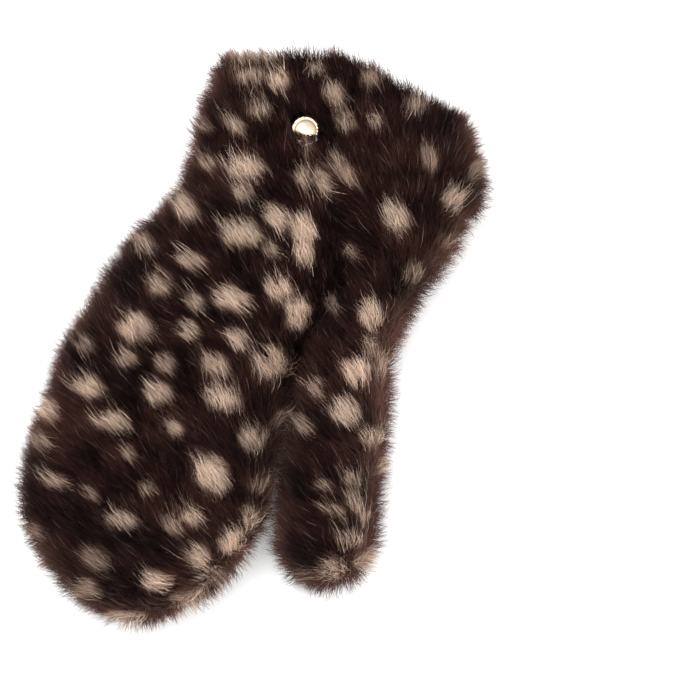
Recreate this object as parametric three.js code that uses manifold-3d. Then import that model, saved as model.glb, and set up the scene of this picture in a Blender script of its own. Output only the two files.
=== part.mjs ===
// A long-pile fur mitten, lying flat with its palm down: a furred hand shell, a furred thumb shell
// with its gusset, a furred cuff, and a round metal snap set in the cuff.
// Millimetres, +Z up. +Y runs from the finger end to the mouth of the cuff, +X to the thumb side.
import * as THREE from 'three';
import { mergeVertices } from 'three/addons/utils/BufferGeometryUtils.js';
import Module from 'manifold-3d';

// Cloth and pile
const PILE_DEPTH = 9.5; // from the cloth to the tips of the fur, on top and at the sides
const WALL = 3; // backing cloth with the dense underfur on it
const BASE = 5; // the same cloth on the underside, with the pile pressed flat below it
const SEAM_GAP = 0.3; // left open between two sewn pieces

// Hand, over the fur
const HAND_LENGTH = 200; // from the wrist seam to the finger end
const HAND_WIDTH = 114;
const HAND_DEPTH = 50;
const HAND_SWING = 90; // how far the finger end lies to the left of the cuff's middle

// Thumb and gusset, over the fur
const THUMB_LENGTH = 184;
const THUMB_WIDTH = 46;
const THUMB_DEPTH = 43;
const THUMB_SWING = 20; // how far the gusset lies to the right of the cuff's middle

// Cuff, over the fur
const CUFF_LENGTH = 48.6; // at its left side, where the mouth is level
const CUFF_WIDTH = 130;
const CUFF_DEPTH = 47;
const CUFF_LEAN = 3.7; // how far the mouth lies to the right
const MOUTH_DROP = 33; // how far the mouth falls away at the thumb side
const SEAM_DROP = 21; // how far the wrist seam falls away at the thumb side

// Fold from the snap to the crotch of the thumb
const FOLD_LENGTH = 166;
const FOLD_WIDTH = 15; // half width of the trough
const FOLD_DEPTH = 0.58; // share of the height over the sides that it takes away
const CROTCH_ALONG = 0.56; // share of the fold's length at which the thumb parts from the hand

// Snap
const SNAP_DIAMETER = 12;
const SNAP_THICKNESS = 1.4;
const SNAP_LIFT = 4.5; // from the cloth to the back of the disc, among the pile
const SNAP_ROUND = 0.4; // rounding of its edges
const SNAP_RIM = 0.9; // width of its raised rim
const SNAP_SINK = 0.25; // how far its face lies below the rim
const SNAP_SIDES = 24;
const POST_DIAMETER = 3;
const BACK_PLATE_DIAMETER = 8;
const BACK_PLATE_THICKNESS = 1.2;
const SNAP_CLEARANCE = 0.3;
const SNAP_ALONG = 0.405; // share of the cuff's length, from the seam
const SNAP_ACROSS = -0.098; // share of the cuff's width, from its middle

// Locks of the pile
const LOCK_SPACING = 7.5; // between a lock's tip and the roots beside it
const LOCK_UNEVEN = 0.28; // share of the pile by which neighbouring tips differ
const COMB_SHIFT = 5; // how far the tips are combed towards the mouth
const COMB_ACROSS = 0.7; // and to the left, as a share of that

// Fineness of the cavity's surface
const CAVITY_POINTS = 22;
const CAVITY_STEP = 14;
const FOLD_STEPS = 18; // of the line between the hand and the thumb

// Shape of a section: the widest line's height, the press on the underside, the round ends
const SIDE_HEIGHT = 0.42;
const UNDER_PRESS = 1.3;
const ROUNDNESS = 0.92;
const CAP_FLATNESS = 0.7; // how much later a round end loses its depth than its width
const MOUTH_BEND = 1.15; // how gently the mouth starts to fall away
const GUSSET_SHARE = 1.4; // the thumb's mean width over its own, with the gusset

// The outline of each form over the fur. along: share of its length from the wrist seam;
// middle: share of its swing; width and depth: shares of its width and depth.
const HAND_ROWS = [
  { along: 0.0, middle: 0.208, width: 0.804, depth: 0.92 },
  { along: 0.075, middle: 0.258, width: 0.868, depth: 0.94 },
  { along: 0.182, middle: 0.395, width: 1.01, depth: 0.97 },
  { along: 0.289, middle: 0.53, width: 1.04, depth: 1.0 },
  { along: 0.396, middle: 0.7, width: 1.01, depth: 1.0 },
  { along: 0.503, middle: 0.796, width: 0.97, depth: 1.0 },
  { along: 0.61, middle: 0.864, width: 0.996, depth: 1.0 },
  { along: 0.717, middle: 0.901, width: 0.985, depth: 0.98 },
  { along: 0.824, middle: 0.912, width: 0.93, depth: 0.94 },
  { along: 0.91, middle: 0.932, width: 0.89, depth: 0.9 },
  { along: 1.0, middle: 1.0, width: 0.83, depth: 0.86 },
];
const THUMB_ROWS = [
  { along: 0.0, middle: 0.765, width: 2.19, depth: 1.02 },
  { along: 0.082, middle: 1.0, width: 1.88, depth: 1.02 },
  { along: 0.199, middle: 0.85, width: 1.56, depth: 1.02 },
  { along: 0.316, middle: 0.495, width: 1.16, depth: 1.0 },
  { along: 0.433, middle: 0.2, width: 1.0, depth: 0.98 },
  { along: 0.55, middle: 0.12, width: 1.02, depth: 0.97 },
  { along: 0.667, middle: 0.02, width: 1.03, depth: 0.97 },
  { along: 0.785, middle: -0.14, width: 1.06, depth: 0.97 },
  { along: 0.902, middle: -0.2, width: 1.05, depth: 0.95 },
  { along: 1.0, middle: -0.22, width: 0.98, depth: 0.92 },
];
const CUFF_ROWS = [
  { along: 0.0, middle: 0.0, width: 0.99, depth: 1.0 },
  { along: 0.25, middle: 0.35, width: 1.0, depth: 1.0 },
  { along: 0.5, middle: 0.65, width: 0.975, depth: 1.0 },
  { along: 0.75, middle: 0.88, width: 0.935, depth: 0.97 },
  { along: 1.0, middle: 1.0, width: 0.885, depth: 0.92 },
];

// The fold's line, from the snap down. along: share of the fold's length; across: share of the
// cuff's width from its middle; depth and width: shares of the fold's own.
const FOLD_ROWS = [
  { along: 0.0, across: -0.098, depth: 0.35, width: 0.7 },
  { along: 0.12, across: -0.05, depth: 0.6, width: 0.7 },
  { along: 0.25, across: 0.027, depth: 0.9, width: 0.9 },
  { along: 0.4, across: 0.015, depth: 1.0, width: 1.0 },
  { along: 0.5, across: -0.04, depth: 0.9, width: 0.8 },
  { along: 0.58, across: -0.115, depth: 0.6, width: 0.6 },
  { along: 0.78, across: -0.155, depth: 0.4, width: 0.5 },
  { along: 1.0, across: -0.2, depth: 0.2, width: 0.5 },
];

// The three surfaces of a furred wall: how far each lies inside the fur's tips at the top and the
// sides, and on the underside, and the height of its flat bottom.
const TIPS = { inset: 0, under: 0, bottom: 0 };
const OUTSIDE = { inset: PILE_DEPTH, under: 0, bottom: 0 };
const INSIDE = { inset: PILE_DEPTH + WALL, under: WALL, bottom: BASE };

const HAND = {
  rows: HAND_ROWS, length: HAND_LENGTH, width: HAND_WIDTH, depth: HAND_DEPTH, swing: -HAND_SWING,
  girth: HAND_WIDTH, capFrom: 0.717, capPower: 0.6,
};
const THUMB = {
  rows: THUMB_ROWS, length: THUMB_LENGTH, width: THUMB_WIDTH, depth: THUMB_DEPTH, swing: THUMB_SWING,
  girth: THUMB_WIDTH * GUSSET_SHARE, capFrom: 0.87, capPower: 0.42,
};
const CUFF = {
  rows: CUFF_ROWS, length: CUFF_LENGTH, width: CUFF_WIDTH, depth: CUFF_DEPTH, swing: CUFF_LEAN,
  girth: CUFF_WIDTH,
};

const wasm = await Module();
wasm.setup();

// A column of a table at any share of the length, as a smooth curve through its rows.
function column(rows, name, share) {
  const last = rows.length - 1;
  if (share <= rows[0].along) return rows[0][name];
  if (share >= rows[last].along) return rows[last][name];
  const i = rows.findIndex((row) => row.along > share) - 1;
  const slope = (k) => {
    const before = rows[Math.max(k - 1, 0)];
    const after = rows[Math.min(k + 1, last)];
    return (after[name] - before[name]) / (after.along - before.along);
  };
  const step = rows[i + 1].along - rows[i].along;
  const t = (share - rows[i].along) / step;
  const rise = t * t * (3 - 2 * t);
  const fromHere = slope(i) * step * t * (1 - t) ** 2;
  const toNext = slope(i + 1) * step * t * t * (t - 1);
  return rows[i][name] * (1 - rise) + rows[i + 1][name] * rise + fromHere + toNext;
}

// The wrist seam and the mouth of the cuff, as heights up the mitten over a place across it.
function seamY(x) {
  return -SEAM_DROP * (x / CUFF_WIDTH + 0.5);
}

function mouthY(x) {
  const mouthWidth = CUFF_WIDTH * CUFF_ROWS[CUFF_ROWS.length - 1].width;
  const past = Math.max(0, (x - CUFF_LEAN) / (mouthWidth / 2));
  return CUFF_LENGTH - MOUTH_DROP * past ** MOUTH_BEND;
}

// The share of the height that the fold takes away over a place on the plan.
const snapSeam = seamY(CUFF_WIDTH * SNAP_ACROSS);
const foldTop = snapSeam + (mouthY(CUFF_WIDTH * SNAP_ACROSS) - snapSeam) * SNAP_ALONG;
const crotchY = foldTop - FOLD_LENGTH * CROTCH_ALONG;
function foldAcross(y) {
  return CUFF_WIDTH * column(FOLD_ROWS, 'across', (foldTop - y) / FOLD_LENGTH);
}

function foldAt(x, y) {
  const share = (foldTop - y) / FOLD_LENGTH;
  const fade = THREE.MathUtils.smoothstep(share, -0.1, 0.02);
  const half = FOLD_WIDTH * column(FOLD_ROWS, 'width', share);
  const away = (x - foldAcross(y)) / half;
  return FOLD_DEPTH * column(FOLD_ROWS, 'depth', share) * fade * Math.exp(-away * away);
}

// How far past the start of its round end a place on a bag lies, from 0 to 1.
function capPast(form, along, inset) {
  const from = form.length * form.capFrom;
  return THREE.MathUtils.clamp((along - from) / (form.length - from - inset), 0, 1);
}

// How much of its width and depth a bag still has near its round end.
function capShare(form, along, inset) {
  if (form.capFrom === undefined) return 1;
  return (1 - capPast(form, along, inset) ** 2) ** form.capPower;
}

// One point on a surface of a form: along it in mm, and round it by an angle from the thumb side
// over the top.
function pointOn(form, layer, along, angle) {
  const share = along / form.length;
  const middle = form.swing * column(form.rows, 'middle', share);
  const ahead = form.swing * column(form.rows, 'middle', share + 0.02);
  const tilt = (ahead - middle) / (0.02 * form.length);
  const cap = capShare(form, along, layer.inset);
  const half = (form.width * column(form.rows, 'width', share)) / 2 - layer.inset * Math.hypot(1, tilt);
  const depth = form.depth * column(form.rows, 'depth', share);
  const side = depth * SIDE_HEIGHT;
  const cos = Math.cos(angle);
  const sin = Math.sin(angle);
  const x = middle + half * cap * Math.sign(cos) * Math.abs(cos) ** ROUNDNESS;
  const y = form === CUFF ? cuffY(x, share, layer) : -along;
  const capUp = cap ** CAP_FLATNESS;
  let z;
  if (sin >= 0) {
    const rise = (depth - layer.inset - side) * capUp * Math.abs(sin) ** ROUNDNESS;
    z = side + rise * (1 - foldAt(x, y));
  } else {
    const fall = (side * UNDER_PRESS - layer.under) * capUp * Math.abs(sin) ** ROUNDNESS;
    z = Math.max(layer.bottom, side - fall);
  }
  return new THREE.Vector3(x, y, z);
}

// The cuff's rows fan out between the slanting seam and the bent mouth.
function cuffY(x, share, layer) {
  const from = seamY(x);
  return from + (mouthY(x) - layer.inset - from) * share;
}

// The distances along a form at which its rings lie, closer together over a round end.
function ringDistances(form, from, to, step) {
  const bend = form.capFrom === undefined ? to : form.length * form.capFrom;
  const straight = Math.max(2, Math.round((bend - from) / step));
  const distances = [];
  for (let i = 0; i <= straight; i += 1) distances.push(from + ((bend - from) * i) / straight);
  if (form.capFrom === undefined) return distances;
  const round = Math.max(4, Math.round((1.3 * (to - bend)) / step));
  for (let i = 1; i < round; i += 1) {
    distances.push(bend + (to - bend) * Math.sin((i / round) * (Math.PI / 2)));
  }
  return distances;
}

// A closed skin of rings of points, with a flat lid or a point over each end. Where rows and
// columns alternate, the triangles' long sides join the points that stand lower.
function closedSkin(rings, ends, alternate) {
  const positions = rings.flat().flatMap((point) => point.toArray());
  const indices = [];
  const size = rings[0].length;
  for (let i = 0; i < rings.length - 1; i += 1) {
    for (let k = 0; k < size; k += 1) {
      const a = i * size + k;
      const b = i * size + ((k + 1) % size);
      const c = a + size;
      const d = b + size;
      if (alternate && (i + k) % 2 === 0) indices.push(a, b, c, b, d, c);
      else indices.push(a, b, d, a, d, c);
    }
  }
  const lids = [[0, ends[0]], [rings.length - 1, ends[1]]];
  for (const [ring, point] of lids) {
    const centre = positions.length / 3;
    positions.push(point.x, point.y, point.z);
    for (let k = 0; k < size; k += 1) {
      const a = ring * size + k;
      const b = ring * size + ((k + 1) % size);
      indices.push(...(ring === 0 ? [centre, b, a] : [centre, a, b]));
    }
  }
  return solidOf(positions, indices);
}

function middleOf(ring) {
  const sum = ring.reduce((total, point) => total.add(point), new THREE.Vector3());
  return sum.divideScalar(ring.length);
}

// The smooth surface of a form's cavity, between two distances along it.
function cavity(form, from, to) {
  const rings = ringDistances(form, from, to, CAVITY_STEP).map((along) => {
    const ring = [];
    for (let k = 0; k < CAVITY_POINTS; k += 1) {
      ring.push(pointOn(form, INSIDE, along, (k / CAVITY_POINTS) * 2 * Math.PI));
    }
    return ring;
  });
  return closedSkin(rings, [middleOf(rings[0]), middleOf(rings[rings.length - 1])], false);
}

// A steady number from 0 to 1 for a lock.
function unevenness(row, place) {
  const wave = Math.sin(row * 12.9898 + place * 78.233) * 43758.5453;
  return wave - Math.floor(wave);
}

// The tip of the lock that grows at a place on the cloth: about on the outline of the fur, combed
// over the top towards the mouth and to the left, and straight out at the sides and both ends.
function lockTip(form, along, angle, row, place) {
  const root = pointOn(form, OUTSIDE, along, angle);
  const outer = pointOn(form, TIPS, alongTips(form, along), angle);
  const share = 1 + LOCK_UNEVEN * (0.55 - unevenness(row, place));
  const tip = root.lerp(outer, share);
  const nearEnd = form.capFrom === undefined ? along / form.length : capPast(form, along, PILE_DEPTH);
  const comb = COMB_SHIFT * Math.max(0, Math.sin(angle)) * (1 - THREE.MathUtils.clamp(nearEnd, 0, 1));
  tip.x -= COMB_ACROSS * comb;
  tip.y += comb;
  tip.z = Math.max(tip.z, 0);
  return tip;
}

// The distance along the outline of the fur that lies over a distance along the cloth.
function alongTips(form, along) {
  if (form.capFrom === undefined) return along;
  const from = form.length * form.capFrom;
  if (along < from) return along;
  return from + capPast(form, along, PILE_DEPTH) * (form.length - from);
}

// The outer surface of a furred form: a lattice of leaning locks, each a four-sided point that
// stands between roots on the cloth. The first ring, inside the wrist seam, stays on the cloth.
function furred(form, from, to) {
  const distances = ringDistances(form, from, to, LOCK_SPACING);
  const girth = Math.PI * 0.5 * (form.girth + form.depth);
  const places = 2 * Math.round(girth / LOCK_SPACING / 2);
  const last = distances.length - 1;
  const rings = distances.map((along, row) => {
    const ring = [];
    for (let k = 0; k < places; k += 1) {
      const angle = (k / places) * 2 * Math.PI;
      const isTip = (row + k) % 2 === 0 && row > 0;
      ring.push(isTip ? lockTip(form, along, angle, row, k) : pointOn(form, OUTSIDE, along, angle));
    }
    return ring;
  });
  const ends = [middleOf(rings[0]), middleOf(rings[last])];
  if (form.capFrom !== undefined) ends[1].y -= PILE_DEPTH / 2;
  return closedSkin(rings, ends, true);
}

// A closed solid from its corners and triangles, turned right side out.
function solidOf(positions, indices) {
  const geometry = new THREE.BufferGeometry();
  geometry.setAttribute('position', new THREE.Float32BufferAttribute(positions, 3));
  geometry.setIndex(indices);
  return toManifold(geometry);
}

function toManifold(geometry) {
  const bare = geometry.index ? geometry.clone() : geometry;
  bare.deleteAttribute('normal');
  bare.deleteAttribute('uv');
  const merged = mergeVertices(bare, 1e-4);
  const vertProperties = new Float32Array(merged.attributes.position.array);
  const triVerts = new Uint32Array(merged.index.array);
  let volume = 0;
  const corner = (i) => new THREE.Vector3().fromArray(vertProperties, triVerts[i] * 3);
  for (let i = 0; i < triVerts.length; i += 3) {
    volume += corner(i).dot(corner(i + 1).cross(corner(i + 2)));
  }
  if (volume < 0) {
    for (let i = 0; i < triVerts.length; i += 3) {
      [triVerts[i + 1], triVerts[i + 2]] = [triVerts[i + 2], triVerts[i + 1]];
    }
  }
  return new wasm.Manifold(new wasm.Mesh({ numProp: 3, vertProperties, triVerts }));
}

// The largest body of a solid, without the crumbs that a seam cuts off the tips of the locks and
// the pockets closed in where tips meet.
function mainBody(solid) {
  return solid.decompose().reduce((most, body) => (body.volume() > most.volume() ? body : most));
}

// The height of a surface of the cuff over a place on the plan, found between its sides.
function cuffRoof(layer, x, y) {
  let low = 0;
  let high = Math.PI;
  const along = CUFF_LENGTH * THREE.MathUtils.clamp((y - seamY(x)) / (mouthY(x) - seamY(x)), 0, 1);
  for (let i = 0; i < 30; i += 1) {
    const angle = (low + high) / 2;
    if (pointOn(CUFF, layer, along, angle).x > x) low = angle;
    else high = angle;
  }
  return pointOn(CUFF, layer, along, (low + high) / 2).z;
}

// The lowest and the highest that a surface of the cuff comes within a radius of the snap's middle.
function roofUnderSnap(layer, radius) {
  const heights = [];
  for (let k = 0; k < 12; k += 1) {
    const angle = (k / 12) * 2 * Math.PI;
    const x = snapX + radius * Math.cos(angle);
    heights.push(cuffRoof(layer, x, snapY + radius * Math.sin(angle)));
  }
  heights.push(cuffRoof(layer, snapX, snapY));
  return { low: Math.min(...heights), high: Math.max(...heights) };
}

// A turned solid standing at the snap's place, from the radius and height of each step.
function turnedAtSnap(steps) {
  const profile = steps.map(([radius, z]) => new THREE.Vector2(radius, z));
  const geometry = new THREE.LatheGeometry(profile, SNAP_SIDES);
  geometry.rotateX(Math.PI / 2);
  geometry.translate(snapX, snapY, 0);
  return toManifold(geometry);
}

// The room that the snap takes out of the cuff: a hole through the cloth for its post, and the
// parting of the pile over its disc.
function snapPocket() {
  const post = POST_DIAMETER / 2 + SNAP_CLEARANCE;
  const parting = SNAP_DIAMETER / 2 + SNAP_CLEARANCE;
  const floor = snapBack - SNAP_CLEARANCE;
  const top = 2 * CUFF_DEPTH;
  return turnedAtSnap([[0, plateTop - WALL], [post, plateTop - WALL], [post, floor], [parting, floor],
    [parting, top], [0, top]]);
}

// The snap: a domed disc with a raised rim, its post, and the plate that holds it inside the cuff.
function snapSolid() {
  const disc = SNAP_DIAMETER / 2;
  const post = POST_DIAMETER / 2;
  const plate = BACK_PLATE_DIAMETER / 2;
  const face = snapBack + SNAP_THICKNESS;
  return turnedAtSnap([
    [0, plateTop - BACK_PLATE_THICKNESS], [plate, plateTop - BACK_PLATE_THICKNESS], [plate, plateTop],
    [post, plateTop], [post, snapBack], [disc - SNAP_ROUND, snapBack], [disc, snapBack + SNAP_ROUND],
    [disc, face - SNAP_ROUND], [disc - SNAP_ROUND, face], [disc - SNAP_RIM, face],
    [disc - SNAP_RIM - SNAP_ROUND, face - SNAP_SINK], [0, face - SNAP_SINK],
  ]);
}

// A block standing on the ground over a region of the plan.
function blockOver(corners) {
  const shape = new THREE.Shape(corners.map(([x, y]) => new THREE.Vector2(x, y)));
  const height = 2 * Math.max(HAND_DEPTH, THUMB_DEPTH, CUFF_DEPTH);
  return toManifold(new THREE.ExtrudeGeometry(shape, { depth: height, bevelEnabled: false }));
}

// Where the snap stands.
const snapX = CUFF_WIDTH * SNAP_ACROSS;
const snapY = foldTop;
const snapBack = roofUnderSnap(OUTSIDE, SNAP_DIAMETER / 2).high + SNAP_LIFT;
const plateTop = roofUnderSnap(INSIDE, BACK_PLATE_DIAMETER / 2).low - SNAP_CLEARANCE;

// The regions of the three shells on the plan, with the seam gap between them.
const reach = 2 * (HAND_LENGTH + HAND_WIDTH);
const half = SEAM_GAP / 2;
const foldLine = [];
for (let i = 0; i <= FOLD_STEPS; i += 1) {
  const y = foldTop - (FOLD_LENGTH * i) / FOLD_STEPS;
  foldLine.push([foldAcross(y), y]);
}
const foldEnd = foldLine[foldLine.length - 1];
const handSide = foldLine.map(([x, y]) => [x - half, y]);
const thumbSide = foldLine.map(([x, y]) => [x + half, y]);
const belowSeam = blockOver([
  [-reach, seamY(-reach) - half], [-reach, -reach], [reach, -reach], [reach, seamY(reach) - half],
]);
const cuffRegion = blockOver([
  [reach, seamY(reach) + half], [reach, reach * 2], [-reach, reach * 2], [-reach, seamY(-reach) + half],
]);
const handRegion = blockOver([
  [-reach, handSide[0][1]], ...handSide, [foldEnd[0] - half, -reach], [-reach, -reach],
].reverse()).intersect(belowSeam);
const thumbRegion = blockOver([
  [reach, thumbSide[0][1]], ...thumbSide, [foldEnd[0] + half, -reach], [reach, -reach],
]).intersect(belowSeam);

// The bags of the hand and the thumb open into each other above the crotch, and each shell takes
// the stretch of the other's wall that lies on its side of the fold there.
const gusset = blockOver([
  [-reach, crotchY], [reach, crotchY], [reach, reach], [-reach, reach],
]);
const handFur = furred(HAND, -LOCK_SPACING, HAND_LENGTH - PILE_DEPTH);
const thumbFur = furred(THUMB, -LOCK_SPACING, THUMB_LENGTH - PILE_DEPTH);
const bagInside = cavity(HAND, -2 * LOCK_SPACING, HAND_LENGTH - PILE_DEPTH - WALL).add(
  cavity(THUMB, -2 * LOCK_SPACING, THUMB_LENGTH - PILE_DEPTH - WALL),
);
const handShell = mainBody(
  handFur.add(thumbFur.intersect(gusset)).subtract(bagInside).intersect(handRegion),
);
const thumbShell = mainBody(
  thumbFur.add(handFur.intersect(gusset)).subtract(bagInside).intersect(thumbRegion),
);

// The hand and the thumb are each sewn from a palm and a back along the seam round their sides.
const sideSeam = (SIDE_HEIGHT * (HAND_DEPTH + THUMB_DEPTH)) / 2;
const backOf = (shell) => mainBody(shell.trimByPlane([0, 0, 1], sideSeam + half));
const palmOf = (shell) => mainBody(shell.trimByPlane([0, 0, -1], half - sideSeam));
const cuffShell = mainBody(
  furred(CUFF, -LOCK_SPACING, CUFF_LENGTH)
    .subtract(cavity(CUFF, -2 * LOCK_SPACING, CUFF_LENGTH * 1.4))
    .intersect(cuffRegion)
    .subtract(snapPocket()),
);
const furMaterial = new THREE.MeshStandardMaterial({ color: 0x3a2420, roughness: 0.95, metalness: 0 });
const goldMaterial = new THREE.MeshStandardMaterial({ color: 0xe6c896, roughness: 0.25, metalness: 1 });

function meshOf(solid, name, material) {
  const { vertProperties, triVerts } = solid.getMesh();
  const geometry = new THREE.BufferGeometry();
  geometry.setAttribute('position', new THREE.BufferAttribute(new Float32Array(vertProperties), 3));
  geometry.setIndex(new THREE.BufferAttribute(new Uint32Array(triVerts), 1));
  geometry.computeVertexNormals();
  const mesh = new THREE.Mesh(geometry, material);
  mesh.name = name;
  return mesh;
}

const group = new THREE.Group();
group.add(meshOf(backOf(handShell), 'hand_back', furMaterial));
group.add(meshOf(palmOf(handShell), 'hand_palm', furMaterial));
group.add(meshOf(backOf(thumbShell), 'thumb_back', furMaterial));
group.add(meshOf(palmOf(thumbShell), 'thumb_palm', furMaterial));
group.add(meshOf(cuffShell, 'cuff_shell', furMaterial));
group.add(meshOf(snapSolid(), 'snap', goldMaterial));

// The origin is in the middle of the outer box, on the ground.
const outerBox = new THREE.Box3().setFromObject(group);
const middle = outerBox.getCenter(new THREE.Vector3());
group.position.set(-middle.x, -middle.y, -outerBox.min.z);

export default group;
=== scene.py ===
"""A spotted long-pile fur mitten, lying flat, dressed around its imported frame.

The furred solids of the frame are replaced by three cloth walls of the same form, and hairs grow on
them from the cloth to the outline of the fur. Everything is in metres, in the frame's own axes: +Y
runs from the finger end to the mouth of the cuff, +X to the thumb side, +Z up.
"""

from __future__ import annotations

import logging
import math
from dataclasses import dataclass
from enum import Enum
from typing import Any, Mapping, Sequence

import bpy
import numpy as np
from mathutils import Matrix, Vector, kdtree


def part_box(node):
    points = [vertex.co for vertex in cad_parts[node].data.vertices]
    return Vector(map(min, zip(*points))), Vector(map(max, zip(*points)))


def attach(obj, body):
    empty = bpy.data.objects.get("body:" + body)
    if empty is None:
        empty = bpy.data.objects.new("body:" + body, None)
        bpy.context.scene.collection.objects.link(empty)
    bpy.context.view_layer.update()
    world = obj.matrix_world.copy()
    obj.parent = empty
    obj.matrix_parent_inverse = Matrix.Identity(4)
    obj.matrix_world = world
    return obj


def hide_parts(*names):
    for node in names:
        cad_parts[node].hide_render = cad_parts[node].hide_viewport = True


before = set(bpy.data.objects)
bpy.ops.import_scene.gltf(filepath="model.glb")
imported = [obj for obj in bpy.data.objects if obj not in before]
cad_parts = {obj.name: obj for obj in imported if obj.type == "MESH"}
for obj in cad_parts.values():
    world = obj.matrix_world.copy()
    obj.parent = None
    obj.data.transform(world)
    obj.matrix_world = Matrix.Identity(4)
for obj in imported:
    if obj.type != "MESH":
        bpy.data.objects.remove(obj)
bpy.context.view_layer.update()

MM = 0.001
SEED = 20417
BODY = "root"
LOG = logging.getLogger("mitten")

Array = np.ndarray
Colour = tuple[float, float, float]


class Slot(Enum):
    """Two material kinds, fur and gold."""

    FUR = "fur"
    GOLD = "gold"


@dataclass(frozen=True)
class Row:
    """One section of a form, its sizes as shares of the form's own.

    Attributes:
        along: share of the form's length from the wrist seam.
        middle: share of its swing to the side.
        width: share of its width over the fur.
        depth: share of its depth over the fur.
    """

    along: float
    middle: float
    width: float
    depth: float


@dataclass(frozen=True)
class FoldRow:
    """One place on the line of the fold between hand and thumb.

    Attributes:
        along: share of the fold's length from the snap.
        across: share of the cuff's width from its middle.
        depth: share of the fold's depth.
        width: share of the fold's half width.
    """

    along: float
    across: float
    depth: float
    width: float


def smooth_column(rows: Sequence[Any], name: str, share: Array) -> Array:
    """Read a column of a table at any share, as a smooth curve through its rows.

    Args:
        rows: rows in the order of their along.
        name: the column's name.
        share: where to read it.

    Returns:
        The value at each share.
    """
    at = np.array([row.along for row in rows])
    values = np.array([getattr(row, name) for row in rows])
    slopes = np.empty_like(values)
    slopes[1:-1] = (values[2:] - values[:-2]) / (at[2:] - at[:-2])
    slopes[0] = (values[1] - values[0]) / (at[1] - at[0])
    slopes[-1] = (values[-1] - values[-2]) / (at[-1] - at[-2])
    share = np.clip(share, at[0], at[-1])
    i = np.clip(np.searchsorted(at, share, side="right") - 1, 0, len(at) - 2)
    step = at[i + 1] - at[i]
    t = (share - at[i]) / step
    rise = t * t * (3 - 2 * t)
    from_here = slopes[i] * step * t * (1 - t) ** 2
    to_next = slopes[i + 1] * step * t * t * (t - 1)
    return values[i] * (1 - rise) + values[i + 1] * rise + from_here + to_next


def smooth_step(low: float, high: float, value: Array) -> Array:
    """Rise smoothly from 0 at low to 1 at high."""
    t = np.clip((value - low) / (high - low), 0, 1)
    return t * t * (3 - 2 * t)


def unit(vectors: Array) -> Array:
    """Scale each row of an array of vectors to length 1."""
    return vectors / np.maximum(np.linalg.norm(vectors, axis=-1, keepdims=True), 1e-9)


def lattice_noise(points: Array, cell: float, seed: int) -> Array:
    """Smooth noise over space, from -1 to 1.

    Args:
        points: places, one a row.
        cell: distance over which the noise changes.
        seed: which noise it is.

    Returns:
        One number a place.
    """
    scaled = points / cell
    base = np.floor(scaled).astype(np.int64)
    part = scaled - base
    part = part * part * (3 - 2 * part)
    total = np.zeros(len(points))
    for corner in range(8):
        offset = np.array([(corner >> axis) & 1 for axis in range(3)])
        at = base + offset
        mixed = at[:, 0] * 73856093 ^ at[:, 1] * 19349663 ^ at[:, 2] * 83492791 ^ seed * 2654435761
        mixed = (mixed ^ (mixed >> 13)) * 1274126177 & 0x7FFFFFFF
        value = (mixed ^ (mixed >> 16)) % 65536 / 32767.5 - 1
        weight = np.prod(np.where(offset == 1, part, 1 - part), axis=1)
        total += value * weight
    return total


def layered_noise(points: Array, layers: Sequence[tuple[float, float, int]], shift: int = 0) -> Array:
    """Add up noises, each given by its size, its cell and its seed, with the seeds shifted."""
    return sum(size * lattice_noise(points, cell, seed + shift) for size, cell, seed in layers)


def steepness(normals: Array) -> Array:
    """How steep the cloth is, from 0 where it faces up to 1 at the sides, in a column."""
    return 1 - np.clip(normals[:, 2:3], 0, 1)


class Layer(Enum):
    """The surfaces of a furred wall: inset at the top and sides, inset below, height of the base."""

    OUTSIDE = (9.5 * MM, 0.0, 0.0)
    INSIDE = (12.5 * MM, 3.0 * MM, 5.0 * MM)


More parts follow.
